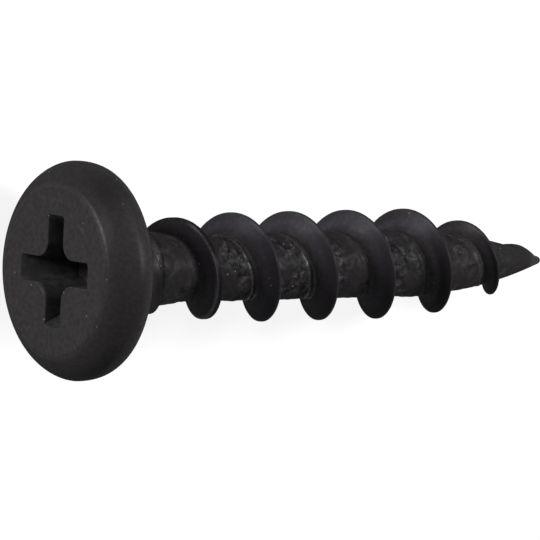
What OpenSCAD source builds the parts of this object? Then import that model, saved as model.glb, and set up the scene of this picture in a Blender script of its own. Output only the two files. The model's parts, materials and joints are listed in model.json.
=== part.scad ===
// Assembly screw with a low pan head, a cross drive recess, a deep coarse thread
// and a sharp point. Millimetres.
// It lies on the ground plane z = 0 as it comes to rest: the head at -X, the point
// at +X, held by the rim of the head and by two crests of the thread near the point.
// The origin is the middle of the bottom of its box.

/* [Head] */
// diameter of the head at its widest
head_d = 8.1; // [7.2:0.1:9.2]
// height of the head, from its flat face to its bearing face
head_h = 1.67; // [1.5:0.01:2.1]
// diameter of the flat in the middle of the head's face
face_d = 6.2; // [5.4:0.1:6.6]
// share of the head's height that the rounded shoulder takes
shoulder_share = 0.6; // [0.45:0.05:0.75]
// fullness of the shoulder: 1 is a straight bevel, 2 is an ellipse
shoulder_power = 1.55; // [1.2:0.05:2.2]
// how far the side of the head draws in from its widest down to the bearing face
side_draw = 0.21; // [0.1:0.01:0.35]

/* [Drive recess] */
// width across two opposite wings of the cross at the face
recess_span = 4.1; // [3.6:0.1:4.4]
// width of one wing at the face
wing_w = 0.93; // [0.7:0.01:1.1]
// radius of the rounded metal corners between the wings at the face
corner_r = 0.6; // [0.2:0.02:0.66]
// depth of the recess at its middle
recess_h = 2.3; // [1.9:0.1:2.5]
// slope of the wings' outer ends from the axis, in degrees
wing_slope = 26.5; // [22:0.5:30]
// draft of the wings' side walls, in degrees
wing_draft = 4.5; // [2:0.5:7]
// turn of the cross about the screw's axis, in degrees
cross_turn = 6.2; // [0:0.1:45]

/* [Shank] */
// length from the bearing face to the tip
shank_l = 20.71; // [18:0.01:26]
// diameter of the neck right under the head
neck_d = 3.2; // [2.8:0.1:3.5]
// diameter of the core between the turns of the thread
core_d = 2.46; // [2.3:0.02:2.6]
// length under the head over which the neck thins down to the core
neck_l = 4.8; // [3.8:0.1:7]
// radius of the fillet between the bearing face and the neck
neck_fillet = 0.4; // [0.2:0.05:0.6]

/* [Thread] */
// diameter over the full crests
thread_d = 4.06; // [3.7:0.02:4.4]
// rise of the thread for one turn
pitch = 2.645; // [2.4:0.005:3]
// lean of each flank from square to the axis, in degrees
flank_turn = 23.5; // [18:0.5:28]
// width of the flat on a full crest
crest_w = 0.11; // [0.08:0.01:0.2]
// diameter over the first turn, which is left blunt by the rolling
first_d = 3.78; // [3.5:0.02:3.9]
// distance from the head's face to the crest of the first whole turn
crest_start = 5.455; // [5.2:0.005:6.2]

/* [Point] */
// length over which the core comes down to the tip
point_l = 6.6; // [5:0.1:8]
// fullness of the point's core: 1 is a cone, 2 is a parabola
core_power = 2.1; // [1.6:0.05:2.4]
// radius at which the core passes into the rounded tip
tip_r = 0.135; // [0.08:0.005:0.2]
// length before the tip over which the crests come down on a cone
taper_l = 5.75; // [4:0.05:7]
// diameter that the cone of the crests has left at the tip
taper_d = 1.34; // [0.8:0.02:1.8]
// how many half turns before its end the thread starts to sink into the core
sink_n = 1.4; // [0.8:0.1:2]

/* [Rest] */
// turn about its own axis at which the screw lies, from the first crest, in degrees;
// it rests on two crests one pitch apart
down_turn = 286; // [0:1:359]

/* [Finish] */
// colour of the black phosphate coat
coat_tone = [0.13, 0.13, 0.14]; // [0:0.01:1]

/* [Hidden] */
$fn = 96;
eps = 0.02;
// bounds and steps of the search for the lean at which the screw rests
flat_lean = 0;
steep_lean = 20;
halving_n = 16;
total_l = head_h + shank_l;
head_r = head_d / 2;
face_r = face_d / 2;
rim_z = head_h * shoulder_share;
core_r = core_d / 2;
neck_r = neck_d / 2;
full_r = thread_d / 2;
first_r = first_d / 2;
flank_run = tan(flank_turn);
// the tip is a sphere that the core's outline meets at its own slope
tip_lean = atan((core_r - tip_r) * core_power / point_l);
tip_round = tip_r / cos(tip_lean);
tip_z = total_l - tip_round;
core_end = tip_z + tip_round * sin(tip_lean);
point_z = core_end - point_l;
taper_r = taper_d / 2;
taper_z = total_l - taper_l;
// distance under the head, and before the tip, at which the thread starts and ends
start_gap = 0.9;
end_gap = 0.25;
// depths of the ridge's root in the core, as shares of its radius, on shank and point
shallow_root = 0.22;
deep_root = 0.45;
// points on the curves of the head and the point, and steps in a turn of the thread
shoulder_n = 12;
side_n = 6;
point_n = 16;
turn_n = 48;

// Radius of the head's shoulder at z under the face: a superellipse that starts
// square to the face and reaches the widest radius upright.
function shoulder_r(z) =
    face_r + (head_r - face_r) * pow(1 - pow(1 - z / rim_z, shoulder_power), 1 / shoulder_power);

// Outline of the head as [radius, z], from the edge of its flat face to the bearing
// face: the shoulder, then a quarter of an ellipse that draws the side in.
head_line = concat(
    [for (i = [0:shoulder_n]) let (z = rim_z * pow(i / shoulder_n, 2)) [shoulder_r(z), z]],
    [for (i = [1:side_n]) let (a = 90 * i / side_n)
        [head_r - side_draw * (1 - cos(a)), rim_z + (head_h - rim_z) * sin(a)]]
);

// Share u of a stretch of this length that lies behind z, from 0 at its start.
function share_of(z, start, length) = min(1, max(0, (z - start) / length));

// Radius of the core at z: the neck thins on a half wave, then the point closes it.
function core_at(z) =
    let (u = share_of(z, head_h, neck_l))
    let (body = core_r + (neck_r - core_r) * (1 + cos(180 * u)) / 2)
    tip_r + (body - tip_r) * (1 - pow(share_of(z, point_z, point_l), core_power));

// Radius of the crest that the flanks are drawn from.
function crest_line(z) = full_r - (full_r - taper_r) * share_of(z, taper_z, taper_l);

// Eased step from 0 to 1 between a and b.
function ease(a, b, x) =
    let (u = min(1, max(0, (x - a) / (b - a))))
    u * u * (3 - 2 * u);

// Height of the crest at a number of half turns k: the ridge rises out of the neck
// under the head, stays blunt for one turn, is full after that, and sinks into the
// point just before the tip.
k_start = -2 * (crest_start - head_h - start_gap) / pitch;
k_end = 2 * (total_l - crest_start - end_gap) / pitch;
function crest_z(k) = crest_start + pitch * k / 2;
function crest_at(k) =
    let (z = crest_z(k))
    let (c = core_at(z))
    let (h = crest_line(z) - c)
    let (blunt = (full_r - first_r) * (1 - ease(1, 2, k)))
    let (rise = ease(k_start, -0.1, k))
    let (sink = 1 - ease(k_end - sink_n, k_end, k))
    c - sunk(k) / 2 + (h - blunt + sunk(k) / 2) * rise * sink;

// Depth to which the ridge is rooted in the core, deeper on the point.
function sunk(k) = core_at(crest_z(k)) * (shallow_root + (deep_root - shallow_root) * ease(5, 7, k));

// Half the width of the ridge at radius r, for the half turn k. It narrows as it sinks.
function ridge_w(k, r) =
    let (narrow = 1 - 0.8 * ease(k_end - sink_n / 3, k_end, k))
    (crest_w / 2 + (crest_line(crest_z(k)) - r) * flank_run) * narrow;

// One section of the ridge, four corners as [radius, z].
function ridge_section(k) =
    let (z = crest_z(k))
    let (top = crest_at(k))
    let (low = core_at(z) - sunk(k))
    [[low, z - ridge_w(k, low)], [top, z - ridge_w(k, top)],
     [top, z + ridge_w(k, top)], [low, z + ridge_w(k, low)]];

// The point [radius, z] carried round the axis by the half turn k.
function carried(p, k) = [p[0] * cos(180 * k), p[0] * sin(180 * k), p[1]];

ridge_n = round(turn_n * (k_end - k_start) / 2);
function ridge_k(i) = k_start + (k_end - k_start) * i / ridge_n;

// The thread's ridge, swept along its helix, with both ends buried in the core.
module ridge() {
    corners = [for (i = [0:ridge_n]) each [for (p = ridge_section(ridge_k(i))) carried(p, ridge_k(i))]];
    sides = [for (i = [0:ridge_n - 1]) each [for (j = [0:3])
        let (a = 4 * i + j)
        let (b = 4 * i + (j + 1) % 4)
        each [[a, b, b + 4], [a, b + 4, a + 4]]]];
    last = 4 * ridge_n;
    ends = [[0, 3, 2], [0, 2, 1], [last, last + 1, last + 2], [last, last + 2, last + 3]];
    polyhedron(corners, concat(sides, ends), convexity = 12);
}

// The core with the neck and the point, turned from one outline.
module core() {
    neck_n = 8;
    neck_line = [for (i = [0:neck_n]) let (z = head_h + neck_l * i / neck_n) [core_at(z), z]];
    point_line = [for (i = [0:point_n - 1])
        let (z = point_z + point_l * i / point_n)
        [core_at(z), z]];
    tip_n = 4;
    tip_line = [for (i = [0:tip_n])
        let (a = tip_lean + (90 - tip_lean) * i / tip_n)
        [tip_round * cos(a), tip_z + tip_round * sin(a)]];
    rotate_extrude()
        polygon(concat([[0, head_h - 0.5], [neck_r, head_h - 0.5]], neck_line, point_line, tip_line));
}

// The fillet that carries the neck into the bearing face.
module fillet() {
    rotate_extrude()
        difference() {
            translate([0, head_h - eps])
                square([neck_r + neck_fillet, neck_fillet + eps]);
            translate([neck_r + neck_fillet, head_h + neck_fillet])
                circle(r = neck_fillet);
        }
}

// The solid of the head.
module head_solid() {
    rotate_extrude()
        polygon(concat([[0, 0]], head_line, [[0, head_h]]));
}

// One pair of opposite wings: a side view and an end view, both drafted, crossed.
module wing_pair() {
    end_r = recess_span / 2;
    up = 0.5;
    low = recess_h + 0.3;
    intersection() {
        rotate([90, 0, 0])
            linear_extrude(height = 2 * wing_w, center = true)
                polygon([
                    [-end_r - up * tan(wing_slope), -up],
                    [end_r + up * tan(wing_slope), -up],
                    [end_r - low * tan(wing_slope), low],
                    [-end_r + low * tan(wing_slope), low]
                ]);
        rotate([90, 0, 90])
            linear_extrude(height = 2 * recess_span, center = true)
                polygon([
                    [-wing_w / 2 - up * tan(wing_draft), -up],
                    [wing_w / 2 + up * tan(wing_draft), -up],
                    [wing_w / 2 - low * tan(wing_draft), low],
                    [-wing_w / 2 + low * tan(wing_draft), low]
                ]);
    }
}

// The hollow between two wings, outside the rounded metal corner. The corner is a
// cone that grows with depth, so it stays tangent to both drafted walls.
module inner_corner() {
    reach = wing_w / 2 + corner_r;
    up = 0.5;
    low = recess_h + 0.3;
    difference() {
        translate([0, 0, -up])
            cube([reach, reach, low + up]);
        translate([reach, reach, -up])
            cylinder(
                r1 = corner_r - up * tan(wing_draft),
                r2 = corner_r + low * tan(wing_draft),
                h = low + up
            );
    }
}

// The cross drive recess, ended by a blunt cone at its bottom.
module recess() {
    bottom_r = recess_span / 2 - recess_h * tan(wing_slope);
    intersection() {
        rotate([0, 0, cross_turn])
            union() {
                wing_pair();
                rotate([0, 0, 90])
                    wing_pair();
                for (a = [0:90:270])
                    rotate([0, 0, a])
                        inner_corner();
            }
        rotate_extrude()
            polygon([
                [0, -0.4],
                [recess_span, -0.4],
                [recess_span, recess_h - 0.6 * (recess_span - bottom_r)],
                [bottom_r, recess_h - 0.25],
                [0, recess_h]
            ]);
    }
}

// The whole screw on its own axis: face at z = 0, tip at z = total_l.
module screw_on_axis() {
    difference() {
        union() {
            head_solid();
            fillet();
            core();
            ridge();
        }
        recess();
    }
}

// How far the head, or the thread, reaches below the axis's start when the screw
// leans down by an angle.
function head_reach(lean) = max([for (p = head_line) p[0] * cos(lean) + p[1] * sin(lean)]);
function thread_reach(lean) =
    max([for (i = [0:ridge_n])
        let (k = ridge_k(i))
        let (w = ridge_w(k, crest_at(k)))
        crest_at(k) * cos(180 * k - down_turn) * cos(lean) + (crest_z(k) + w) * sin(lean)]);

// The lean at which head and thread touch the ground together, found by halving.
function settled(low, high, n) =
    let (mid = (low + high) / 2)
    n == 0 ? mid
    : thread_reach(mid) > head_reach(mid) ? settled(low, mid, n - 1)
    : settled(mid, high, n - 1);

lean = settled(flat_lean, steep_lean, halving_n);
rest_z = head_reach(lean);
back_x = min([for (p = head_line) p[1] * cos(lean) - p[0] * sin(lean)]);
front_x = tip_z * cos(lean) + tip_round;
rest_x = -(back_x + front_x) / 2;

// The screw as it lies.
module screw() {
    color(coat_tone)
        translate([rest_x, 0, rest_z])
            rotate([0, 90 + lean, 0])
                rotate([0, 0, -down_turn])
                    screw_on_axis();
}

screw();
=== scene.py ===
"""Looks of a black phosphated assembly screw that lies on its side.

The screw is one watertight surface, worked out with numpy on its own axis (z runs
from the flat face to the tip, in millimetres) and then laid down as the frame says.
Its parts are a drive recess, a pan head and a threaded shank with a gimlet point.
Angles round the axis start at the first crest, and half turns of the thread are
counted from there. In the photograph's view that is the top, and 90 degrees is the
side that faces the camera.
"""

import json
import logging
import math
from dataclasses import dataclass, field
from enum import Enum

import bpy
import numpy as np
from mathutils import Matrix, Vector
from numpy.typing import NDArray


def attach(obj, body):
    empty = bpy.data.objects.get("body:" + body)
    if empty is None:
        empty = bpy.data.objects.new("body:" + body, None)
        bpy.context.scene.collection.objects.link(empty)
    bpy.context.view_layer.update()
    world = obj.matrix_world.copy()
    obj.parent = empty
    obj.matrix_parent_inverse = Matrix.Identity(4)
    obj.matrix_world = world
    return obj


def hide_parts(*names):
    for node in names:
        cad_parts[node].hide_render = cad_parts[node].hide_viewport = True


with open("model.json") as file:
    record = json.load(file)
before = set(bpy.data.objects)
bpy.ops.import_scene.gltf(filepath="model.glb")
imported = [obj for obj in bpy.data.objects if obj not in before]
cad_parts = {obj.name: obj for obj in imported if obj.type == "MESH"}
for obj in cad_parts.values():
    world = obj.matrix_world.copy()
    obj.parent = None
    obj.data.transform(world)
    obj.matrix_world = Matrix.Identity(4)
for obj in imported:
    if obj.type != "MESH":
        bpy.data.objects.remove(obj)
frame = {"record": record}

LOG = logging.getLogger("assembly_screw")
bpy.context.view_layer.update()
MM = 0.001
HEAD_H = 1.67  # millimetres, where the head ends and the neck begins
PHOTO_SIZE = 540
Array = NDArray[np.float64]
Index = NDArray[np.int64]
Socket = bpy.types.NodeSocket
Tree = bpy.types.NodeTree


class Slot(Enum):
    """The material slots of the record."""

    BLACK_PHOSPHATE = "black_phosphate"


class Wear(Enum):
    """Masks of the mesh's finish, painted highlights and painted shade, each from 0 to 1."""

    GROOVE = "groove_floor"
    DEEP = "recess_depth"
    # EDGE also carries painted highlights, and DULL painted shade
    EDGE = "rubbed_edge_and_painted_highlight"
    DULL = "dull_coat_and_painted_shade"
    FLANK = "rolled_flank"


# Small tools


def linear(code: str) -> tuple[float, float, float, float]:
    """Turns an sRGB hex colour into linear RGBA.

    Args:
        code: six hex digits, with or without a leading #.

    Returns:
        The linear colour with alpha 1.
    """
    digits = code.lstrip("#")
    srgb = [int(digits[i:i + 2], 16) / 255 for i in (0, 2, 4)]
    rgb = [c / 12.92 if c <= 0.04045 else ((c + 0.055) / 1.055) ** 2.4 for c in srgb]
    return rgb[0], rgb[1], rgb[2], 1.0


def add_node(tree: Tree, kind: str, settings: dict[str, object] | None = None,
             **inputs: object) -> bpy.types.Node:
    """Adds one shader node with its settings, constants and links.

    Args:
        tree: the node tree that gets the node.
        kind: the node's type name without the ShaderNode in front.
        settings: attributes of the node itself, such as operation.
        inputs: for each input, named with _ for a blank or in0, in1 by its place,
            either a socket to link from or a constant.

    Returns:
        The new node.
    """
    node = tree.nodes.new("ShaderNode" + kind)
    for name, value in (settings or {}).items():
        setattr(node, name, value)
    for name, value in inputs.items():
        socket = node.inputs[int(name[2:])] if name[2:].isdigit() else node.inputs[name.replace("_", " ")]
        if isinstance(value, Socket):
            tree.links.new(value, socket)
        else:
            socket.default_value = value
    return node


def maths(tree: Tree, operation: str, *values: object) -> Socket:
    """Adds one Math node for the operation on sockets and numbers, and gives its result."""
    inputs = {f"in{place}": value for place, value in enumerate(values)}
    return add_node(tree, "Math", {"operation": operation}, **inputs).outputs[0]


def add_object(name: str, data: bpy.types.ID) -> bpy.types.Object:
    """Adds an object to the scene.

    Args:
        name: name of the object.
        data: its mesh, lamp or camera.

    Returns:
        The new object.
    """
    made = bpy.data.objects.new(name, data)
    bpy.context.scene.collection.objects.link(made)
    return made


def empty_tree(owner: bpy.types.Material | bpy.types.World) -> Tree:
    """Gives a material or world an empty node tree.

    Args:
        owner: the material or world.

    Returns:
        Its node tree.
    """
    owner.use_nodes = True
    owner.node_tree.nodes.clear()
    return owner.node_tree


def ease(low: float, high: float, x: Array) -> Array:
    """Eased step, 0 up to low and 1 from high, 3u^2 - 2u^3 between; it falls where low > high."""
    u = np.clip((x - low) / (high - low), 0.0, 1.0)
    return u * u * (3.0 - 2.0 * u)


def soft_min(a: Array, b: Array, width: float | Array) -> Array:
    """The smaller of a and b, with the corner between them rounded over width."""
    h = np.maximum(width - np.abs(a - b), 0.0) / width
    return np.minimum(a, b) - h * h * width * 0.25


def soft_max(a: Array, b: Array, width: float | Array) -> Array:
    """The larger of a and b, with the corner between them filled over width."""
    return -soft_min(-a, -b, width)


@dataclass(frozen=True)
class Ramp:
    """An eased step from 0 at low to top at high, which may lie below low."""

    low: float
    high: float
    top: float = 1.0

    def at(self, x: Array) -> Array:
        """Height of the step at x."""
        return self.top * ease(self.low, self.high, x)


@dataclass(frozen=True)
class Hump:
    """A smooth hump: height e^(-((x - centre) / width)^2)."""

    centre: float
    width: float
    height: float = 1.0

    def at(self, x: Array) -> Array:
        """Height of the hump at x."""
        return self.height * np.exp(-((x - self.centre) / self.width) ** 2)

    def each_turn(self, k: Array) -> Array:
        """Height of the hump at half turn k, where it comes back with every full turn."""
        return self.at((k - self.centre + 1.0) % 2.0 - 1.0 + self.centre)


@dataclass(frozen=True)
class Beat:
    """A strength that comes and goes along the helix: level + swing sin(pace k + phase)."""

    level: float
    swing: float
    phase: float
    pace: float = 2.3

    def at(self, k: Array) -> Array:
        """Strength at half turn k."""
        return self.level + self.swing * np.sin(k * self.pace + self.phase)


@dataclass(frozen=True)
class Ripple:
    """A smooth random height over space: a sum of sine waves of one rough length."""

    seed: int
    length: float
    waves: int = 28

    def at(self, points: Array) -> Array:
        """Height at points, as the mean of sines along random directions.

        Args:
            points: places in millimetres, with x, y and z last.

        Returns:
            Heights with a spread of about 1.
        """
        rng = np.random.default_rng(self.seed)
        ways = rng.normal(size=(self.waves, 3))
        ways /= np.linalg.norm(ways, axis=1, keepdims=True)
        pace = 2.0 * math.pi / (self.length * rng.uniform(0.7, 1.5, self.waves))
        start = rng.uniform(0.0, 2.0 * math.pi, self.waves)
        total = np.zeros(points.shape[:-1])
        for way, speed, phase in zip(ways, pace, start):
            total += np.sin(points @ way * speed + phase)
        return total * math.sqrt(2.0 / self.waves)


# The finish


@dataclass(frozen=True)
class Layers:
    """The node tree of one material, and the steps that build up its layers."""

    tree: Tree
    place: Socket

    def mask(self, wear: Wear) -> Socket:
        """Reads one of the mesh's own masks."""
        return add_node(self.tree, "Attribute", {"attribute_name": wear.value}).outputs["Fac"]

    def noise(self, size_mm: float, detail: float) -> Socket:
        """Adds a noise of about 0.2 to 0.8, with lumps about size_mm wide and detail finer layers."""
        return add_node(self.tree, "TexNoise", Vector=self.place, Scale=1.0 / (size_mm * MM), Detail=detail,
                        Roughness=0.6).outputs["Fac"]

    def cells(self, size_mm: float, place: Socket, feature: str = "F1") -> Socket:
        """Adds cells about size_mm wide and gives the distance from their seeds, or from their edges."""
        return add_node(self.tree, "TexVoronoi", {"feature": feature}, Vector=place,
                        Scale=1.0 / (size_mm * MM)).outputs["Distance"]

    def warped(self, size_mm: float, reach_mm: float) -> Socket:
        """Shifts the place by a noise, so that cracks drawn on it wander.

        Args:
            size_mm: width of the noise's lumps.
            reach_mm: how far the noise's whole range shifts the place.

        Returns:
            The shifted place's socket.
        """
        sway = add_node(self.tree, "TexNoise", Vector=self.place, Scale=1.0 / (size_mm * MM), Detail=2.0)
        middle = add_node(self.tree, "VectorMath", {"operation": "SUBTRACT"}, in0=sway.outputs["Color"],
                          in1=(0.5, 0.5, 0.5))
        return add_node(self.tree, "VectorMath", {"operation": "MULTIPLY_ADD"}, in0=middle.outputs[0],
                        in1=(reach_mm * MM,) * 3, in2=self.place).outputs[0]

    def step(self, value: Socket, ramp: Ramp) -> Socket:
        """Turns a socket's value into the eased step of a ramp."""
        return add_node(self.tree, "MapRange", {"interpolation_type": "SMOOTHSTEP"}, Value=value,
                        From_Min=ramp.low, From_Max=ramp.high, To_Max=ramp.top).outputs[0]

    def product(self, first: Socket, *others: object) -> Socket:
        """Multiplies a socket by others, one after another.

        Args:
            first: the socket to start from.
            others: sockets or numbers.

        Returns:
            The product's socket.
        """
        for other in others:
            first = maths(self.tree, "MULTIPLY", first, other)
        return first

    def blend(self, share: Socket, under: object, over: object) -> Socket:
        """Lays one colour over another by a share; each is a hex code or a socket."""
        low, high = (linear(colour) if isinstance(colour, str) else colour for colour in (under, over))
        return add_node(self.tree, "Mix", {"data_type": "RGBA"}, in0=share, in6=low, in7=high).outputs[2]


@dataclass(frozen=True)
class BlackPhosphate:
    """Manganese phosphate and oil on cold-formed steel.

    The coat is a dark crystal felt, so it is nearly black, matt, and shows grey only
    where it faces a light. It is patchy at about a millimetre and mottled at a tenth
    of one. Rolling has pressed the flanks smoother, which turns them violet-grey, and
    has left the groove floors crusted and cracked. Handling has left edges a little
    brighter, and highlights are painted on the same mask: on arcs of the face's edge
    and the rim, round one side of the collar, in a band on each turn of the flank and
    on a corner of the recess. Sludge fills the recess, the dull places are darker,
    shade is painted on the shoulder and underside of the head, in the collar's crease,
    on one side of the neck and beside each flank band, and a few bright specks of
    dust are stuck to it all.
    """

    slot: Slot = Slot.BLACK_PHOSPHATE
    dark: str = "#2f2c2e"
    warm: str = "#383537"
    moss: str = "#373734"
    violet: str = "#403c44"
    # Tone of the dull coat, also used for painted shade
    dull: str = "#181718"
    flake: str = "#5b595c"
    crack: str = "#0b0a0b"
    # Steel where the coat wears, also the tone of painted highlights
    rubbed_and_highlight: str = "#77777c"
    sludge: str = "#28282a"
    scale: str = "#323233"
    speck: str = "#64645f"

    # Widths of the patterns and height of the relief
    patch_mm: float = 1.1
    mottle_mm: float = 0.17
    grain_mm: float = 0.06
    clot_mm: float = 0.3
    crack_mm: float = 0.55
    sway_mm: float = 0.25
    sway_reach_mm: float = 0.4
    dust_mm: float = 0.6
    relief_mm: float = 0.014

    # Where on a pattern's scale each layer sets in and is full
    moss_on_patches: Ramp = Ramp(0.42, 0.66)
    tint_on_mottle: Ramp = Ramp(0.3, 0.7)
    crust_on_clots: Ramp = Ramp(0.45, 0.68, 0.9)
    crust_on_patches: Ramp = Ramp(0.4, 0.62)
    crust_on_grain: Ramp = Ramp(0.25, 0.6)
    crack_width: Ramp = Ramp(0.11, 0.04, 0.75)
    crack_on_patches: Ramp = Ramp(0.44, 0.56)
    worn_on_grain: Ramp = Ramp(0.2, 0.7)
    scale_on_clots: Ramp = Ramp(0.35, 0.65)
    speck_width: Ramp = Ramp(0.07, 0.045)
    flank_even: float = 0.52

    # Sheen
    roughness: float = 0.6
    bright_drop: float = 0.12
    sludge_rise: float = 0.35
    oil: float = 0.04
    burnish: float = 0.4
    burnish_full: float = 0.25
    oil_roughness: float = 0.36
    grain_relief: float = 0.35
    plain_relief: float = 0.45

    def material(self) -> bpy.types.Material:
        """Builds the coat's material.

        Returns:
            The material, reading Object coordinates in metres and the mesh's masks.
        """
        made = bpy.data.materials.new("black_manganese_phosphate_on_steel")
        tree = empty_tree(made)
        coat = Layers(tree, add_node(tree, "TexCoord").outputs["Object"])
        patches = coat.noise(self.patch_mm, 3.0)
        mottle = coat.noise(self.mottle_mm, 4.0)
        grain = coat.noise(self.grain_mm, 2.0)
        clots = coat.noise(self.clot_mm, 2.0)
        groove, deep, edge, dull, flank = (coat.mask(wear) for wear in Wear)

        # The felt: warm and greenish patches with dark pores, evener and violet on the flanks
        tint = coat.blend(coat.step(patches, self.moss_on_patches), self.warm, self.moss)
        tint = coat.blend(flank, tint, self.violet)
        spread = maths(tree, "MAXIMUM", coat.step(mottle, self.tint_on_mottle),
                       coat.product(flank, self.flank_even))
        tone = coat.blend(spread, self.dark, tint)
        # The dull mask darkens dull coat and also paints shade on head, neck and flanks
        tone = coat.blend(dull, tone, self.dull)

        # Pale flakes and black cracks of the crust, on the groove floors only
        crust = coat.product(coat.step(clots, self.crust_on_clots), groove,
                             coat.step(patches, self.crust_on_patches), coat.step(grain, self.crust_on_grain))
        tone = coat.blend(crust, tone, self.flake)
        veins = coat.cells(self.crack_mm, coat.warped(self.sway_mm, self.sway_reach_mm), "DISTANCE_TO_EDGE")
        veins = coat.product(coat.step(veins, self.crack_width), groove,
                             coat.step(patches, self.crack_on_patches))
        tone = coat.blend(veins, tone, self.crack)

        # Steel where the coat wears through, painted highlights, specks of dust, sludge in the recess
        wear_and_highlight = coat.product(edge, coat.step(grain, self.worn_on_grain))
        rub_and_highlight = coat.product(wear_and_highlight, edge)
        tone = coat.blend(rub_and_highlight, tone, self.rubbed_and_highlight)
        dust = coat.cells(self.dust_mm, coat.place)
        tone = coat.blend(coat.step(dust, self.speck_width), tone, self.speck)
        silt = coat.blend(coat.step(clots, self.scale_on_clots), self.sludge, self.scale)
        tone = coat.blend(deep, tone, silt)

        # The sheen: crystals scatter the light, and oil shines only on wear and painted highlights
        bright = maths(tree, "MAXIMUM", crust, rub_and_highlight)
        gloss = add_node(tree, "MapRange", Value=bright, To_Min=self.roughness,
                         To_Max=self.roughness - self.bright_drop)
        damp = add_node(tree, "MapRange", Value=deep, To_Min=0.0, To_Max=self.sludge_rise)
        rough = add_node(tree, "Math", {"operation": "ADD", "use_clamp": True}, in0=gloss.outputs[0],
                         in1=damp.outputs[0])
        shine = add_node(tree, "MapRange", Value=wear_and_highlight, From_Max=self.burnish_full, To_Min=self.oil,
                         To_Max=self.burnish)
        lumps = maths(tree, "MULTIPLY_ADD", grain, self.grain_relief, mottle)
        pits = maths(tree, "MULTIPLY_ADD", groove, 1.0 - self.plain_relief, self.plain_relief)
        bump = add_node(tree, "Bump", Strength=pits, Distance=self.relief_mm * MM, Height=lumps)
        shader = add_node(tree, "BsdfPrincipled", Base_Color=tone, Roughness=rough.outputs[0],
                          Normal=bump.outputs[0], Metallic=0.0, Coat_Weight=shine.outputs[0])
        shader.inputs["Specular IOR Level"].default_value = 0.0
        shader.inputs["Coat Roughness"].default_value = self.oil_roughness
        add_node(tree, "OutputMaterial", Surface=shader.outputs[0])
        return made


# The screw


@dataclass
class Patch:
    """A grid of surface points with its masks, all with the same leading shape."""

    points: Array
    groove: Array
    deep: Array
    # edge also carries painted highlights, and dull painted shade
    edge: Array
    dull: Array
    flank: Array

    @classmethod
    def plain(cls, points: Array) -> "Patch":
        """Makes a patch whose masks are all 0."""
        return cls(points, *(np.zeros(points.shape[:-1]) for _ in Wear))

    def flat(self) -> Array:
        """Points and masks as rows of x, y, z and one column for each kind of wear."""
        masks = np.stack([self.groove, self.deep, self.edge, self.dull, self.flank], axis=-1)
        return np.concatenate([self.points, masks], axis=-1).reshape(-1, 3 + len(Wear))


@dataclass(frozen=True)
class GridSpot:
    """Where the vertices of the threaded grid lie, in millimetres if not said otherwise.

    Attributes:
        k: half turn of the ridge.
        turn: angle round the axis in radians.
        off: way along the axis from the ridge's middle, negative on the head's side.
        past: way along the axis beyond the ridge's root.
        beyond: way along the axis beyond the crest's flat.
        rise: height of the ridge over the core.
        neck: way along the axis from the bearing face.
        collar: way along the axis from the collar's crease.
        left: way along the axis that is left to the tip.
        inside: share of the small shapes, 0 to 1, which fade out at both ends.
        foot: height of the ridge over which its foot is still bare core.
    """

    k: Array
    turn: Array
    off: Array
    past: Array
    beyond: Array
    rise: Array
    neck: Array
    collar: Array
    left: Array
    inside: Array
    foot: Ramp = Ramp(0.12, -0.02)

    @property
    def upper(self) -> Array:
        """1 on the head's side of the ridge, else 0."""
        return (self.off < 0.0).astype(float)

    @property
    def bare(self) -> Array:
        """1 where no ridge stands on the core, fading to 0 at its foot."""
        return self.foot.at(self.rise)


@dataclass(frozen=True)
class RolledFloor:
    """The marks that rolling leaves on the groove floors, all measured past the root."""

    floor: Ramp = Ramp(0.03, 0.16)
    dent: Ramp = Ramp(0.2, 2.4, 0.032)
    dent_lumps: Ripple = Ripple(5, 0.62)
    long_wave: Ripple = Ripple(9, 1.5)
    long_height: float = 0.008
    short_wave: Ripple = Ripple(13, 0.3)
    short_height: float = 0.005
    laps: tuple[Hump, ...] = (Hump(0.19, 0.035, 0.02), Hump(0.47, 0.04, 0.02), Hump(0.31, 0.05, -0.012))
    lap_beat: Beat = Beat(0.65, 0.35, 0.6)
    crease: Hump = Hump(0.03, 0.05, 0.035)
    crease_fade: Ramp = Ramp(-0.2, -0.7)

    def marks(self, points: Array, at: GridSpot) -> Array:
        """Height of the dents, of the lap lines on the head's side and of the first crease.

        Args:
            points: the smooth surface's points.
            at: place of each point on the grid.

        Returns:
            Heights in millimetres, dents negative.
        """
        dent = self.dent.at(self.dent_lumps.at(points))
        wave = self.long_wave.at(points) * self.long_height + self.short_wave.at(points) * self.short_height
        lap = sum(line.at(at.past) for line in self.laps) * self.lap_beat.at(at.k) * at.upper
        crease = self.crease.at(at.past) * (at.off > 0.0) * self.crease_fade.at(at.k)
        return self.floor.at(at.past) * (wave - dent) - lap - crease


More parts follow.
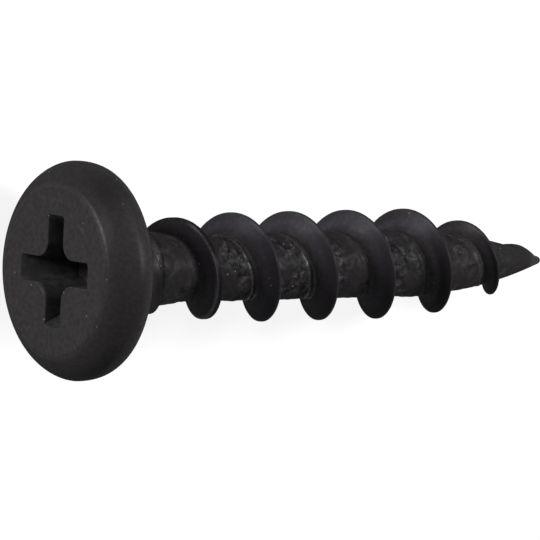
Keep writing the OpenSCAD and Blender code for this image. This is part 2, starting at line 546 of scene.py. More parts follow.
@dataclass(frozen=True)
class ThreadCoat:
    """Wear, painted highlights and painted shade on the neck and the thread, as the photograph shows it.

    Each mask is a sum of places, and each place is a product of steps and humps, one
    for each way in which it is bounded. They are listed by what they run over.
    """

    # Over half turns of the ridge
    blunt: Ramp = Ramp(2.0, 1.2)
    first_rub: Ramp = Ramp(0.08, 0.25, 0.6)
    first_rub_fade: Ramp = Ramp(0.55, 0.95, 0.7)
    start: Ramp = Ramp(-0.4, -1.0)
    lip_beat: Beat = Beat(0.34, 0.12, 2.6)
    lip_start: Ramp = Ramp(0.8, 1.8)
    lip_fade: Ramp = Ramp(5.4, 7.0, 0.8)
    # A painted highlight band on the flank, at the same angle each turn
    highlight_band: Hump = Hump(0.16, 0.18)
    highlight_band_start: Ramp = Ramp(1.5, 2.0)
    highlight_band_fade: Ramp = Ramp(2.5, 4.0, 0.04)
    # Painted shade on the flank beside its highlight band, at the same angle each turn
    flank_shade: Hump = Hump(0.58, 0.3, 0.3)
    flank_shade_start: Ramp = Ramp(1.0, 2.0)
    late: Ramp = Ramp(5.0, 9.0)
    floor_fade: Ramp = Ramp(5.0, 8.0, 0.2)
    crust_fade: Ramp = Ramp(5.0, 8.0, 0.35)
    flank_fade: Ramp = Ramp(8.0, 10.0, 0.6)

    # Over the ridge's height
    flank: Ramp = Ramp(0.04, 0.3)
    high_early: Ramp = Ramp(0.3, 0.75)
    high_late: Ramp = Ramp(0.2, 0.45)
    crest: Ramp = Ramp(0.1, 0.5)
    start_rise: Ramp = Ramp(0.0, 0.05)
    # Rise of the painted highlight band and of the painted shade beside it
    highlight_band_rise: Ramp = Ramp(0.15, 0.5)
    flank_shade_rise: Ramp = Ramp(0.1, 0.4)

    # Along the axis, from the crest, the root, the collar, the head or the tip
    crest_edge: Hump = Hump(0.0, 0.03)
    crest_flat: Ramp = Ramp(0.04, -0.02)
    start_edge: Hump = Hump(-0.05, 0.2, 0.04)
    lips: tuple[Hump, ...] = (Hump(0.09, 0.035, 0.8), Hump(0.31, 0.045))
    # Painted light: the floor less dull close to the root on the head's side
    root_painted_light: Hump = Hump(0.1, 0.35, 0.9)
    crust: Ramp = Ramp(0.05, 0.2)
    crust_gap: Hump = Hump(0.2, 0.25, 0.6)
    crust_start: Ramp = Ramp(0.65, 1.65, 0.65)
    # A painted highlight on the collar, painted shade in its crease and on the neck
    collar_highlight: Hump = Hump(-0.29, 0.16, 0.33)
    crease: Hump = Hump(0.02, 0.11)
    collar_shade: Ramp = Ramp(0.3, 0.0, 0.36)
    neck: Ramp = Ramp(0.0, 0.4)
    tip_rub: Ramp = Ramp(0.9, 0.3, 0.2)

    # Round the axis, for the collar's painted highlight and painted shade
    collar_highlight_turn: Hump = Hump(math.radians(68.0), 0.3)
    collar_shade_turn: Hump = Hump(math.radians(125.0), 0.5)

    # Strengths
    crest_rub: float = 0.03
    # How bright the painted highlight band is, and how much less dull
    highlight_band_rub: float = 0.11
    highlight_band_lift: float = 0.8
    floor_dull: float = 0.56
    flank_dull: float = 0.36
    late_dull: float = 0.3
    crest_dull: float = 0.5
    collar_crust: float = 0.35

    def highlight_band_at(self, k: Array) -> Array:
        """Strength of the painted highlight band at half turn k, which comes back with every turn."""
        return self.highlight_band.each_turn(k) * self.highlight_band_start.at(k)

    def rubbed_and_highlight(self, at: GridSpot) -> Array:
        """Places of the neck and thread with wear of the coat and painted highlights.

        They are the crest's edge on the head's side, most over the first turn, the edge
        of the run-out, a painted highlight round one side of the collar, the tip, a
        painted highlight band in each turn of the flank, and the laps' lips, which come
        and go along the groove.

        Args:
            at: place of each vertex on the grid.

        Returns:
            The mask, 0 where the coat is whole.
        """
        first = self.blunt.at(at.k) * self.first_rub.at(at.k) * (1.0 - self.first_rub_fade.at(at.k))
        edge = self.crest.at(at.rise) * self.crest_edge.at(at.beyond) * at.upper * (self.crest_rub + first)
        edge += self.start_edge.at(at.off) * self.start_rise.at(at.rise) * self.start.at(at.k)
        # A painted highlight round one side of the collar, and wear at the tip
        edge += self.collar_highlight.at(at.collar) * self.collar_highlight_turn.at(at.turn) + self.tip_rub.at(at.left)
        # The painted highlight band on the flank
        band = (self.highlight_band_rub - self.highlight_band_fade.at(at.k)) * self.highlight_band_at(at.k)
        edge += band * self.highlight_band_rise.at(at.rise) * at.upper
        lip = sum(line.at(at.past) for line in self.lips) * at.upper * at.inside
        lip *= self.lip_beat.at(at.k) * self.lip_start.at(at.k)
        return edge + lip * (1.0 - self.lip_fade.at(at.k))

    def dulled_and_shaded(self, at: GridSpot) -> Array:
        """Dull places of the neck and thread, with painted shade and painted light.

        The floors are dull, but painted light makes them less so close to the root on the
        head's side of a ridge. The flank on that side is dull high up, more and lower
        down towards the point, less in its painted highlight band, and carries painted
        shade beside that band. The crest's flat is at least as dull as its own step
        says, the collar's crease carries painted shade at least as dark as its step
        says, and painted shade lies on one side of the neck up to the collar.

        Args:
            at: place of each vertex on the grid.

        Returns:
            The mask, 0 where the coat is plain.
        """
        flank = self.flank.at(at.rise)
        late = self.late.at(at.k)
        dull = self.floor_dull * (1.0 - flank) * self.neck.at(at.neck)
        dull *= 1.0 - self.floor_fade.at(at.k)
        # Painted light: the floor less dull close to the root on the head's side
        dull *= 1.0 - self.root_painted_light.at(at.past) * at.upper * at.inside
        low = self.high_early.low + (self.high_late.low - self.high_early.low) * late
        high = self.high_early.high + (self.high_late.high - self.high_early.high) * late
        # Painted light: the flank less dull in its highlight band
        band_lift = 1.0 - self.highlight_band_lift * self.highlight_band_at(at.k)
        dull += (self.flank_dull + self.late_dull * late) * band_lift * ease(low, high, at.rise) * at.upper
        # Painted shade on the flank beside its highlight band
        dull += self.flank_shade.each_turn(at.k) * self.flank_shade_start.at(at.k) * self.flank_shade_rise.at(at.rise) * at.upper
        crest = self.crest_dull + (1.0 - self.crest_dull) * self.blunt.at(at.k)
        dull = np.maximum(dull, crest * self.crest_flat.at(at.beyond) * flank)
        # Painted shade in the collar's crease
        dull = np.maximum(dull, self.crease.at(at.collar) * at.bare)
        # Painted shade on one side of the neck, up to the collar
        return dull + self.collar_shade.at(at.collar) * self.collar_shade_turn.at(at.turn)

    def crusted(self, at: GridSpot) -> Array:
        """Crusted groove floors.

        The crust starts past the root and is weaker over the collar, on the laps and on
        the point.

        Args:
            at: place of each vertex on the grid.

        Returns:
            The mask, 0 where there is no crust.
        """
        crust = self.crust.at(at.past) * at.inside * (self.collar_crust + self.crust_start.at(at.collar))
        crust *= 1.0 - self.crust_gap.at(at.past) * at.upper
        return crust * (1.0 - self.crust_fade.at(at.k))

    def rolled(self, at: GridSpot) -> Array:
        """Rolled flanks, 1 high up on the ridge, weaker on the point."""
        return self.flank.at(at.rise) * (1.0 - self.flank_fade.at(at.k))


@dataclass
class WoodThread:
    """The neck, core, thread and point, all sizes in millimetres from the flat face.

    The ridge rises out of the neck from start_gap below the head up to half turn
    risen_k, is blunt (first_r) for its first turn and then full (full_r). It tapers
    with the point, and sinks over sink_n half turns until end_gap before the tip.
    Where it isn't seen it lies sunk under the core.
    """

    head_h: float = HEAD_H
    length: float = 22.38
    neck_r: float = 1.6
    core_r: float = 1.23
    neck_l: float = 4.8
    full_r: float = 2.03
    first_r: float = 1.89
    pitch: float = 2.645
    crest_w: float = 0.11
    flank_run: float = math.tan(math.radians(23.5))
    crest_start: float = 5.455
    start_gap: float = 0.9
    end_gap: float = 0.25
    point_l: float = 6.6
    core_power: float = 2.1
    tip_r: float = 0.135
    taper_l: float = 5.75
    taper_r: float = 0.67
    sink_n: float = 1.4
    sunk: float = 0.12
    risen_k: float = -0.1
    blunt: Ramp = Ramp(2.0, 1.0)
    turns: int = 9
    turns_before: int = 2
    columns: int = 160
    rows_per_pitch: int = 60
    low_z: float = 2.15
    marks_low: Ramp = Ramp(0.0, 0.5)
    marks_high: Ramp = Ramp(1.0, 3.2)
    collar_z: float = 3.95
    collar_step: Ramp = Ramp(0.05, -0.05, 0.03)
    collar_crease: Hump = Hump(0.0, 0.07, 0.03)
    crest_round: float = 0.05
    upper_fillet: float = 0.05
    lower_fillet: float = 0.11
    floor: RolledFloor = RolledFloor()
    coat: ThreadCoat = ThreadCoat()

    @property
    def tip_lean(self) -> float:
        """Slope of the core's outline where it meets the rounded tip, in radians."""
        return math.atan((self.core_r - self.tip_r) * self.core_power / self.point_l)

    @property
    def tip_round(self) -> float:
        """Radius of the sphere that rounds the tip."""
        return self.tip_r / math.cos(self.tip_lean)

    @property
    def high_z(self) -> float:
        """Where the threaded grid ends and the rounded tip begins."""
        return self.length - self.tip_round * (1.0 - math.sin(self.tip_lean))

    @property
    def k_start(self) -> float:
        """Half turn at which the ridge rises out of the neck."""
        return -2.0 * (self.crest_start - self.head_h - self.start_gap) / self.pitch

    @property
    def k_end(self) -> float:
        """Half turn at which the ridge has sunk into the point."""
        return 2.0 * (self.length - self.crest_start - self.end_gap) / self.pitch

    def core_at(self, z: Array) -> Array:
        """Radius of the core.

        The neck thins on a half wave, and the point closes the core by
        tip_r + (body - tip_r)(1 - v^core_power), where v runs from 0 to 1 over it.

        Args:
            z: places along the axis.

        Returns:
            A radius for each place.
        """
        u = np.clip((z - self.head_h) / self.neck_l, 0.0, 1.0)
        body = self.core_r + (self.neck_r - self.core_r) * (1.0 + np.cos(math.pi * u)) / 2.0
        v = np.clip((z - self.high_z + self.point_l) / self.point_l, 0.0, 1.0)
        return self.tip_r + (body - self.tip_r) * (1.0 - v ** self.core_power)

    def crest_line(self, z: Array) -> Array:
        """Radius that the flanks are drawn from: level, then a cone towards the tip."""
        u = np.clip((z - self.length + self.taper_l) / self.taper_l, 0.0, 1.0)
        return self.full_r - (self.full_r - self.taper_r) * u

    def crest_at(self, k: Array) -> Array:
        """Radius of the crest: rising, blunt, full, tapering and sinking in turn.

        Args:
            k: half turns of the ridge.

        Returns:
            A radius for each half turn, a little inside the core where no ridge is.
        """
        z = self.crest_start + self.pitch * k / 2.0
        core = self.core_at(z)
        blunt = (self.full_r - self.first_r) * self.blunt.at(k)
        share = ease(self.k_start, self.risen_k, k) * ease(self.k_end, self.k_end - self.sink_n, k)
        return core - self.sunk + (self.crest_line(z) - core - blunt + self.sunk) * share

    def half_width(self, k: Array, radius: Array) -> Array:
        """Half the ridge's width along the axis at a radius, for half turn k."""
        line = self.crest_line(self.crest_start + self.pitch * k / 2.0)
        return self.crest_w / 2.0 + np.clip(line - radius, 0.0, None) * self.flank_run

    def offsets(self, step: Array, top: Array, root: Array) -> Array:
        """Axial distance of each grid row from the ridge's middle.

        The rows are shared out between the crest's flat, the flank, the root's fillet
        and the groove, so that each edge of the ridge has rows along it.

        Args:
            step: row place across one pitch, from -1 to 1.
            top: half the ridge's width at its crest.
            root: half the ridge's width at the core.

        Returns:
            Distances along the axis, from minus to plus half a pitch.
        """
        top = np.minimum(top, root * 0.8)
        side = np.abs(step)
        # Row places with their distances: middle, crest, its edge, root, fillet, laps, groove
        marks = [(0.0, 0.0 * top), (0.08, top * 0.85), (0.13, top + 0.02), (0.36, root - 0.01),
                 (0.46, root + 0.1), (0.68, root + 0.32), (1.0, self.pitch / 2.0 + 0.0 * top)]
        way = np.zeros(np.broadcast(side, top).shape)
        for (a, low), (b, high) in zip(marks, marks[1:]):
            inside = (side >= a) & (side <= b)
            way = np.where(inside, low + (high - low) * (side - a) / (b - a), way)
        return np.sign(step) * way

    def collar(self, at: GridSpot) -> Array:
        """Height of the collar under the head, less the fine crease that ends it."""
        return at.bare * (self.collar_step.at(at.collar) * at.inside - self.collar_crease.at(at.collar))

    def grid(self) -> Patch:
        """Grid that follows the helix: one column per step of turn, rows across pitches.

        Along its row the surface is the flank r = line - (|off| - w / 2) / run, capped
        by the crest and filled into the core, with soft corners at both. The marks of
        rolling and the collar then lift or sink it along its radius.

        Returns:
            The patch, with a row for every column of the helix.
        """
        step = np.linspace(-1.0, 1.0, self.rows_per_pitch + 1)[:-1]
        rows = np.tile(step, self.turns)[None, :]
        lap = np.repeat(np.arange(self.turns) - self.turns_before, self.rows_per_pitch)[None, :]
        share = np.arange(self.columns)[:, None] / self.columns
        k = 2.0 * (lap + share)
        mid = self.crest_start + self.pitch * k / 2.0
        root = self.half_width(k, self.core_at(mid))
        crest = self.crest_at(k)
        flat = self.half_width(k, crest)
        off = self.offsets(rows, flat, root)
        side = np.abs(off)
        z = mid + off
        flank = self.crest_line(mid) - (side - self.crest_w / 2.0) / self.flank_run
        crown = soft_min(flank, crest, self.crest_round)
        core = self.core_at(z)
        radius = soft_max(crown, core, np.where(off < 0.0, self.upper_fillet, self.lower_fillet))
        turn = np.broadcast_to(2.0 * math.pi * share, z.shape)
        inside = self.marks_low.at(z - self.low_z) * self.marks_high.at(self.high_z - z)
        at = GridSpot(k=k, turn=turn, off=off, past=side - root, beyond=side - flat, rise=crown - core,
                      neck=z - self.head_h, collar=z - self.collar_z, left=self.length - z,
                      inside=inside)
        smooth = np.stack([radius * np.cos(turn), radius * np.sin(turn), z], axis=2)
        radius = radius + self.floor.marks(smooth, at) * inside + self.collar(at)
        points = np.stack([radius * np.cos(turn), radius * np.sin(turn), z], axis=2)
        return Patch(points, groove=self.coat.crusted(at), deep=np.zeros_like(z), edge=self.coat.rubbed_and_highlight(at),
                     dull=self.coat.dulled_and_shaded(at), flank=self.coat.rolled(at))


@dataclass
class PanHead:
    """The low pan head, from the edge of its flat face to the neck."""

    radius: float = 4.05
    face_r: float = 3.1
    height: float = HEAD_H
    rim_z: float = 1.0
    shoulder_power: float = 1.55
    side_draw: float = 0.21
    fillet: float = 0.4
    edge_drop: float = 0.04
    edge_run: float = 0.07
    face_margin: float = 0.07
    shoulder_rings: int = 27
    side_rings: int = 9
    bearing_rings: int = 5
    fillet_rings: int = 6
    # Wear at the face's edge and the rim, each with a painted highlight on one arc
    arc: Hump = Hump(0.15, 0.05)
    arc_end: float = 0.2
    arc_least: float = 0.07
    arc_highlight_turn: Hump = Hump(math.radians(54.0), 0.34, 0.32)
    rim: Hump = Hump(0.95, 0.22)
    rim_least: float = 0.02
    rim_highlight_turn: Hump = Hump(math.radians(65.0), 0.27, 0.13)
    # Painted shade on the shoulder and the underside; the side darker on two stretches
    shoulder_shade: Ramp = Ramp(0.04, 0.16, 0.36)
    shoulder_end: Ramp = Ramp(1.5, 1.1)
    side_start: Ramp = Ramp(0.1, 0.5)
    side_end: Ramp = Ramp(1.5, 1.2)
    side_near: Hump = Hump(math.radians(41.0), 0.24, 0.32)
    side_low: Hump = Hump(math.radians(108.0), 0.35, 0.13)
    under_shade: Ramp = Ramp(-0.1, 0.0, 0.56)

    def outline(self, neck_r: float, low_z: float) -> tuple[Array, Array]:
        """Profile of the head as radius and z.

        A superellipse runs from the face to the rim, a quarter of an ellipse draws the
        side in, the bearing face is flat, and a quarter circle fills the neck. A
        narrow bevel breaks the edge of the flat face and fades into the shoulder.

        Args:
            neck_r: radius of the neck where the threaded grid starts.
            low_z: place where the threaded grid starts.

        Returns:
            Radii and places along the axis, in order.
        """
        share = np.linspace(0.0, 1.0, self.shoulder_rings) ** 2
        z1 = self.rim_z * share
        r1 = self.face_r + (self.radius - self.face_r) * (
            1.0 - (1.0 - share) ** self.shoulder_power) ** (1.0 / self.shoulder_power)
        r0 = self.face_r - np.array([self.face_margin, 0.03, 0.01])
        z1 = np.concatenate([np.zeros(len(r0)), z1])
        r1 = np.concatenate([r0, r1])
        past = np.clip(r1 - self.face_r, 0.0, None)
        z1 += self.edge_drop * (1.0 - np.exp(-past / self.edge_run)) * (1.0 - ease(0.1, 0.6, z1))
        turn = np.linspace(0.0, math.pi / 2.0, self.side_rings + 1)[1:]
        z2 = self.rim_z + (self.height - self.rim_z) * np.sin(turn)
        r2 = self.radius - self.side_draw * (1.0 - np.cos(turn))
        r3 = np.linspace(r2[-1], neck_r + self.fillet, self.bearing_rings + 1)[1:]
        z3 = np.full(self.bearing_rings, self.height)
        bend = np.linspace(0.0, math.pi / 2.0, self.fillet_rings + 1)[1:]
        r4 = neck_r + self.fillet - self.fillet * np.sin(bend)
        z4 = self.height + self.fillet - self.fillet * np.cos(bend)
        radii = np.concatenate([r1, r2, r3, r4, [neck_r]])
        return radii, np.concatenate([z1, z2, z3, z4, [low_z]])

    def dress(self, patch: Patch, radii: Array, places: Array) -> None:
        """Rubs the face's edge and the rim, paints highlight and shade, and darkens the side.

        A highlight is painted on one arc of the face's edge and of the rim, and shade on the
        shoulder and the underside; the side is darker on two stretches round the axis.

        Args:
            patch: the head's rings, whose masks are filled in.
            radii: radius of each ring.
            places: place of each ring along the axis.
        """
        way = np.arctan2(patch.points[..., 1], patch.points[..., 0])
        past = radii - self.face_r
        # Wear all round the face's edge and the rim, with a painted highlight on one arc of each
        arc = self.arc.at(past) * (places < self.arc_end)
        patch.edge += arc[:, None] * (self.arc_least + self.arc_highlight_turn.at(way))
        patch.edge += self.rim.at(places)[:, None] * (self.rim_least + self.rim_highlight_turn.at(way))
        # Painted shade: the shoulder darker than the face, and the underside dark
        drawn = self.shoulder_shade.at(past) * self.shoulder_end.at(places)
        patch.dull += (drawn + self.under_shade.at(places - self.height))[:, None]
        side = self.side_start.at(places) * self.side_end.at(places)
        patch.dull += side[:, None] * (self.side_near.at(way) + self.side_low.at(way))


@dataclass
class CrossRecess:
    """The cross drive recess: four drafted wings round a blunt cone."""

    span: float = 4.1
    wing_w: float = 0.93
    corner_r: float = 0.6
    depth: float = 2.3
    wing_slope: float = 26.5
    wing_draft: float = 4.5
    turn: float = 6.2
    edge: float = 0.05
    corner_cut: float = 0.08
    cone_h: float = 0.36
    apron: float = 0.12
    end_share: float = 0.18
    corner_share: float = 0.25
    side_share: float = 0.66
    cone_rings: tuple[float, ...] = (0.0, 0.3, 0.6, 0.85)
    wall_rings: int = 12
    wall_top: float = 0.1
    edge_rings: tuple[float, ...] = (math.pi / 2.0, 1.1, 0.7, 0.35, 0.0)
    apron_rings: tuple[float, ...] = (0.03, 0.06, 0.1, 0.2, 0.35, 0.65, 1.0)
    face_rings: tuple[float, ...] = (2.22, 2.26, 2.3, 2.34, 2.38, 2.44, 2.6, 2.8, 2.94)
    scrape: Hump = Hump(2.32, 0.035)
    scrape_turn: Hump = Hump(math.radians(52.0), 0.2)
    scrape_rub: float = 0.3
    scrape_depth: float = 0.012
    # A painted highlight on the corner of the rim between two wings
    glint_turn: Hump = Hump(math.radians(-132.0), 0.24, 0.5)
    sludge: Ramp = Ramp(0.0, 0.1)

    def loop(self, depth: float, grow: float, columns: int) -> Array:
        """Outline of the hollow at a depth, wing ends first.

        Half a wing runs from its middle along the end, back along the side and round
        the metal corner, which is an eighth of a circle. Each stretch has its share of
        the points, and the rest of the cross is that half mirrored and turned.

        Args:
            depth: depth under the face.
            grow: how far the outline is pushed out of its true place.
            columns: number of points round the cross, a multiple of 8.

        Returns:
            Points as x and y, one for each column.
        """
        draft = depth * math.tan(math.radians(self.wing_draft))
        end = self.span / 2.0 - depth * math.tan(math.radians(self.wing_slope)) + grow
        wide = self.wing_w / 2.0 - draft + grow
        bend = self.corner_r + draft - grow
        start = wide + bend
        corner = min(self.corner_cut, 0.8 * max(end - start, 0.0))
        shares = [0.0, self.end_share, self.corner_share, self.side_share]
        t = np.arange(columns // 8 + 1) / (columns // 8)
        arc = np.clip((t - self.side_share) / (1.0 - self.side_share), 0.0, 1.0) * math.pi / 4.0
        x = np.interp(t, shares, [end, end, end - corner, max(start, 0.0)])
        y = np.interp(t, shares[:3], [0.0, wide - corner, wide])
        x = np.where(t > self.side_share, start - bend * np.sin(arc), x)
        y = np.where(t > self.side_share, start - bend * np.cos(arc), y)
        half = np.stack([x, y], axis=1)
        quarter = np.concatenate([half, half[:-1][::-1][:, ::-1]])[:columns // 4]
        turns = [np.array([[math.cos(a), math.sin(a)], [-math.sin(a), math.cos(a)]])
                 for a in np.arange(4) * math.pi / 2.0]
        return np.concatenate([quarter @ turn for turn in turns])

    def rings(self, edge_r: float, columns: int) -> Patch:
        """Rings from the bottom of the recess up its walls and out over the face.

        The cone's rings shrink the walls' foot in a straight line, a quarter circle
        rounds the rim, and the apron's rings pass from the cross to a circle.

        Args:
            edge_r: radius of the last ring, where the head's own rings begin.
            columns: points in a ring.

        Returns:
            The patch, by ring and column.
        """
        floor = self.depth - self.cone_h
        foot = self.loop(floor, 0.0, columns)
        levels = [(foot * s, self.depth - self.cone_h * s) for s in self.cone_rings]
        depths = np.linspace(floor, self.wall_top, self.wall_rings).tolist()
        levels += [(self.loop(d, 0.0, columns), d) for d in depths]
        levels += [(self.loop(0.0, self.edge * (1.0 - math.sin(a)), columns), self.edge * (1.0 - math.cos(a)))
                   for a in self.edge_rings]
        glint = len(levels) + 1
        rim = levels[-1][0]
        angle = np.arange(columns) * 2.0 * math.pi / columns
        circle = np.stack([np.cos(angle), np.sin(angle)], axis=1)
        ring = circle * (self.span / 2.0 + self.apron)
        levels += [(rim + (ring - rim) * s, 0.0) for s in self.apron_rings]
        levels += [(circle * r, 0.0) for r in (*self.face_rings, edge_r)]
        stack = np.stack([np.concatenate([flat, np.full((columns, 1), z)], axis=1) for flat, z in levels])
        a = math.radians(self.turn)
        spin = np.array([[math.cos(a), math.sin(a), 0.0], [-math.sin(a), math.cos(a), 0.0], [0.0, 0.0, 1.0]])
        patch = Patch.plain(stack @ spin)
        patch.deep = self.sludge.at(stack[..., 2])
        way = np.arctan2(patch.points[..., 1], patch.points[..., 0])
        scrape = self.scrape.at(np.hypot(stack[..., 0], stack[..., 1])) * self.scrape_turn.at(way)
        patch.edge = scrape * self.scrape_rub
        # A painted highlight on the rim's corner, in the edge mask
        patch.edge[glint] += self.glint_turn.at(way[glint])
        patch.points[..., 2] -= scrape * self.scrape_depth
        return patch


@dataclass
class RestPose:
    """How the screw lies: place of the face's middle, way of the axis, turn about it."""

    face: Vector
    axis: Vector
    down_turn: float = 286.0

    @classmethod
    def from_record(cls, record: dict) -> "RestPose":
        """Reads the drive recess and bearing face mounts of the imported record.

        Args:
            record: the record inside the frame.

        Returns:
            The pose.
        """
        mounts = {mount["name"]: mount for mount in record["mounts"]}
        axis = Vector(mounts["bearing_face"]["axis"]).normalized()
        return cls(Vector(mounts["drive_recess"]["pos_m"]), axis)

    def radial(self, turn: float) -> Vector:
        """Unit vector square to the axis.

        Args:
            turn: angle round the axis in degrees, from the first crest.

        Returns:
            The vector in the row frame.
        """
        side = Vector((0.0, 1.0, 0.0))
        down = side.cross(self.axis).normalized()
        if down.z > 0.0:
            down.negate()
        a = math.radians(turn - self.down_turn)
        return down * math.cos(a) + side * math.sin(a)

    def place(self, points: Array) -> Array:
        """Carries points in millimetres on the screw's own axis into the row frame."""
        basis = np.array([self.radial(0.0), self.radial(90.0), self.axis])
        return points @ basis * MM + np.array(self.face)


@dataclass
class AssemblyScrew:
    """The one piece: recess, head and threaded shank joined into one closed surface."""

    rest: RestPose
    head: PanHead = field(default_factory=PanHead)
    recess: CrossRecess = field(default_factory=CrossRecess)
    thread: WoodThread = field(default_factory=WoodThread)
    finish: BlackPhosphate = field(default_factory=BlackPhosphate)
    tip_dull: float = 0.45
    tip_rows: int = 6
    seam: float = 0.01
    sharp_angle: float = 40.0

    def around(self, radii: Array, places: Array) -> Patch:
        """Turns one profile round the axis: x = r cos a, y = r sin a.

        Args:
            radii: radius of each ring.
            places: place of each ring along the axis.

        Returns:
            The patch, by ring and column.
        """
        angle = np.arange(self.thread.columns) * 2.0 * math.pi / self.thread.columns
        x = radii[:, None] * np.cos(angle)
        y = radii[:, None] * np.sin(angle)
        return Patch.plain(np.stack([x, y, places[:, None] + 0.0 * x], axis=2))

    def head_rings(self) -> Patch:
        """Rings from the edge of the face over the head to the neck.

        Returns:
            The patch, by ring and column.
        """
        low_z = self.thread.low_z
        radii, places = self.head.outline(float(self.thread.core_at(np.array(low_z))), low_z)
        patch = self.around(radii, places)
        self.head.dress(patch, radii, places)
        return patch

    def tip_rings(self) -> Patch:
        """Rings of the rounded tip, down to the pole.

        Returns:
            The patch, by ring and column.
        """
        thread = self.thread
        a = np.linspace(thread.tip_lean, math.pi / 2.0, self.tip_rows)
        centre = thread.length - thread.tip_round
        patch = self.around(thread.tip_round * np.cos(a), centre + thread.tip_round * np.sin(a))
        patch.dull += self.tip_dull
        patch.edge += thread.coat.tip_rub.top
        return patch

    def ring_index(self, rings: int, start: int, closed_at: int) -> Index:
        """Vertex numbers of rings, with the pole's ring sharing one vertex.

        Args:
            rings: number of rings.
            start: number of the first vertex.
            closed_at: the ring that is a pole, 0 or -1.

        Returns:
            Numbers with the first column repeated at the end.
        """
        columns = self.thread.columns
        index = start + np.arange(rings * columns).reshape(rings, columns)
        index[closed_at] = index[closed_at, 0]
        return np.concatenate([index, index[:, :1]], axis=1)

    def quads(self, a: Index, b: Index, c: Index, d: Index) -> Index:
        """Splits quads into triangles and drops those that have closed to a line.

        Args:
            a: vertex numbers of the first corner.
            b: vertex numbers of the second corner.
            c: vertex numbers of the third corner.
            d: vertex numbers of the fourth corner.

        Returns:
            The triangles that are left, a row for each.
        """
        both = np.concatenate([np.stack([a, b, c], axis=-1).reshape(-1, 3),
                               np.stack([a, c, d], axis=-1).reshape(-1, 3)])
        kept = (both[:, 0] != both[:, 1]) & (both[:, 1] != both[:, 2]) & (both[:, 2] != both[:, 0])
        return both[kept]

    def surface(self) -> tuple[Array, Index]:
        """Joins the stretches into one closed surface.

        The threaded grid runs past both its ends. Each of its vertices that lies beyond
        an end ring is drawn onto that ring, in its own column, so the faces between
        them close up and are left out.

        Returns:
            Rows of point and masks, on the screw's own axis, and triangles.
        """
        thread = self.thread
        edge_r = self.head.face_r - self.head.face_margin
        parts = [self.recess.rings(edge_r, thread.columns), self.head_rings(), self.tip_rings(),
                 thread.grid()]
        rings = [len(part.points) for part in parts[:3]]
        upper = self.ring_index(rings[0] + rings[1], 0, 0)
        tip = self.ring_index(rings[2], sum(rings[:2]) * thread.columns, -1)
        z = parts[3].points[..., 2]
        own = sum(rings) * thread.columns + np.arange(z.size).reshape(z.shape)
        own = np.where(z <= thread.low_z + self.seam, upper[-1, :-1, None], own)
        own = np.where(z >= thread.high_z - self.seam, tip[0, :-1, None], own)
        shift = thread.rows_per_pitch
        wrapped = np.concatenate([own[0, shift:], np.repeat(tip[0, :1], shift)])
        body = np.concatenate([own, wrapped[None]], axis=0)
        faces = [self.quads(g[:-1, :-1], g[:-1, 1:], g[1:, 1:], g[1:, :-1]) for g in (upper, tip)]
        faces.append(self.quads(body[:-1, :-1], body[1:, :-1], body[1:, 1:], body[:-1, 1:]))
        rows = np.concatenate([part.flat() for part in parts])
        used, packed = np.unique(np.concatenate(faces), return_inverse=True)
        return rows[used], packed.reshape(-1, 3)

    def build(self) -> bpy.types.Object:
        """Makes the mesh object in the row frame and dresses it.

        Returns:
            The finished object.
        """
        rows, triangles = self.surface()
        mesh = bpy.data.meshes.new("screw_surface")
        mesh.vertices.add(len(rows))
        mesh.vertices.foreach_set("co", self.rest.place(rows[:, :3]).ravel())
        mesh.loops.add(triangles.size)
        mesh.loops.foreach_set("vertex_index", triangles.ravel())
        mesh.polygons.add(len(triangles))
        mesh.polygons.foreach_set("loop_start", np.arange(0, triangles.size, 3))
        mesh.polygons.foreach_set("use_smooth", np.ones(len(triangles), dtype=bool))
        mesh.update(calc_edges=True)
        for column, wear in enumerate(Wear, start=3):
            layer = mesh.attributes.new(wear.value, "FLOAT", "POINT")
            layer.data.foreach_set("value", np.clip(rows[:, column], 0.0, 1.0))
        mesh.validate()
        mesh.set_sharp_from_angle(angle=math.radians(self.sharp_angle))
        made = add_object("screw_coated", mesh)
        mesh.materials.append(self.finish.material())
        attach(made, "root")
        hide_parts("screw")
        LOG.info("screw: %d vertices, %d triangles", len(rows), len(triangles))
        return made


# Camera and light


@dataclass
class PhotoCamera:
    """A long lens at the photograph's viewing angle."""

    rest: RestPose
    view_angle: float = 53.3
    roll: float = 1.35
    px_per_mm: float = 27.3
    face_px: tuple[float, float] = (53.9, 271.45)
    lens: float = 1500.0
    sensor: float = 36.0

    def build(self) -> bpy.types.Object:
        """Places the camera so that the face's middle falls on its pixel.

        Returns:
            The camera object.
        """
        theta, t = math.radians(self.view_angle), math.radians(self.roll)
        axis, top, near = self.rest.axis, self.rest.radial(0.0), self.rest.radial(90.0)
        back = near * math.sin(theta) - axis * math.cos(theta)
        across = axis * math.sin(theta) + near * math.cos(theta)
        right = across * math.cos(t) - top * math.sin(t)
        up = top * math.cos(t) + across * math.sin(t)
        middle = PHOTO_SIZE / 2.0
        px = MM / self.px_per_mm
        target = self.rest.face + right * (middle - self.face_px[0]) * px
        target += up * (self.face_px[1] - middle) * px
        distance = PHOTO_SIZE * px * self.lens / self.sensor
        data = bpy.data.cameras.new("photo_camera")
        data.lens = self.lens
        data.sensor_width = self.sensor
        data.clip_start, data.clip_end = 0.01, 10.0
        camera = add_object("photo_camera", data)
        facing = Matrix((right, up, back)).transposed().to_4x4()
        camera.matrix_world = Matrix.Translation(target + back * distance) @ facing
        bpy.context.scene.camera = camera
        LOG.info("camera: elevation %.1f, horizon leans %.2f degrees", math.degrees(math.asin(back.z)),
                 math.degrees(math.atan2(right.z, up.z)))
        return camera


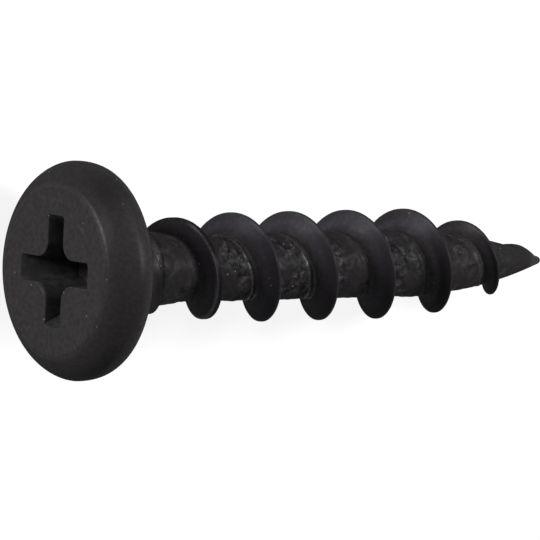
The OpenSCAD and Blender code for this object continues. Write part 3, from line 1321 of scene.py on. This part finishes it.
@dataclass(frozen=True)
class SoftLamp:
    """A soft box, wide and high as its size says, that looks at the screw."""

    name: str
    place: tuple[float, float, float]
    size: tuple[float, float]
    power: float

    def build(self) -> bpy.types.Object:
        """Makes the lamp and turns it to the screw's middle.

        Returns:
            The lamp object.
        """
        data = bpy.data.lights.new(self.name, "AREA")
        data.shape = "RECTANGLE"
        data.size, data.size_y = self.size
        data.energy = self.power
        made = add_object(self.name, data)
        made.location = self.place
        made.rotation_euler = (-Vector(self.place)).to_track_quat("-Z", "Y").to_euler()
        return made


@dataclass
class Studio:
    """A pale floor, four soft lamps and a plain pale surround."""

    floor_size: float = 3.0
    floor_tone: str = "#8a8a8a"
    floor_glow: float = 0.85
    surround: float = 0.15
    lamps: tuple[SoftLamp, ...] = (
        SoftLamp("front_lamp", (-0.400, 0.180, 0.034), (0.18, 0.055), 1.75),
        SoftLamp("side_lamp", (0.300, 0.165, 0.275), (0.13, 0.13), 1.85),
        SoftLamp("back_lamp", (-0.207, 0.364, 0.134), (0.20, 0.20), 0.17),
        SoftLamp("near_lamp", (-0.044, -0.290, 0.330), (0.20, 0.20), 0.12),
    )

    def seen(self, tree: Tree) -> Socket:
        """Adds the test for what the camera sees, straight or in a reflection.

        Args:
            tree: the node tree that gets the test.

        Returns:
            A socket that is 1 for such a ray and else 0.
        """
        path = add_node(tree, "LightPath").outputs
        first = maths(tree, "MAXIMUM", path["Is Camera Ray"], path["Is Glossy Ray"])
        return maths(tree, "MAXIMUM", first, path["Is Transmission Ray"])

    def build(self) -> None:
        """Makes the floor, the lamps and the world."""
        self.floor()
        for lamp in self.lamps:
            lamp.build()
        self.world()

    def floor(self) -> bpy.types.Object:
        """Lays a white board that keeps the screw's shadow.

        Its matt paint glows only where the camera sees it, straight or in a reflection,
        so it looks nearly white and the shadow on it stays weak.

        Returns:
            The board object.
        """
        half = self.floor_size / 2.0
        mesh = bpy.data.meshes.new("floor_board")
        corners = [(-half, -half, 0.0), (half, -half, 0.0), (half, half, 0.0), (-half, half, 0.0)]
        mesh.from_pydata(corners, [], [(0, 1, 2, 3)])
        made = add_object("floor_board", mesh)
        paint = bpy.data.materials.new("matt_white_board")
        tree = empty_tree(paint)
        glow = maths(tree, "MULTIPLY", self.seen(tree), self.floor_glow)
        board = add_node(tree, "BsdfPrincipled", Base_Color=linear(self.floor_tone), Roughness=0.9,
                         Emission_Strength=glow)
        board.inputs["Emission Color"].default_value = (1.0, 1.0, 1.0, 1.0)
        board.inputs["Specular IOR Level"].default_value = 0.0
        add_node(tree, "OutputMaterial", Surface=board.outputs[0])
        mesh.materials.append(paint)
        return made

    def world(self) -> None:
        """Sets a plain surround, white where it is seen."""
        world = bpy.data.worlds.new("pale_surround")
        bpy.context.scene.world = world
        tree = empty_tree(world)
        level = add_node(tree, "MapRange", Value=self.seen(tree), To_Min=self.surround, To_Max=1.0)
        glow = add_node(tree, "Background", Color=(1.0, 1.0, 1.0, 1.0), Strength=level.outputs[0])
        add_node(tree, "OutputWorld", Surface=glow.outputs[0])


def main() -> None:
    """Builds the screw, the studio and the camera."""
    logging.basicConfig(level=logging.INFO, format="%(name)s: %(message)s")
    bpy.context.scene.view_settings.view_transform = "Standard"
    rest = RestPose.from_record(frame["record"])
    AssemblyScrew(rest).build()
    Studio().build()
    PhotoCamera(rest).build()


if __name__ == "__main__":
    main()
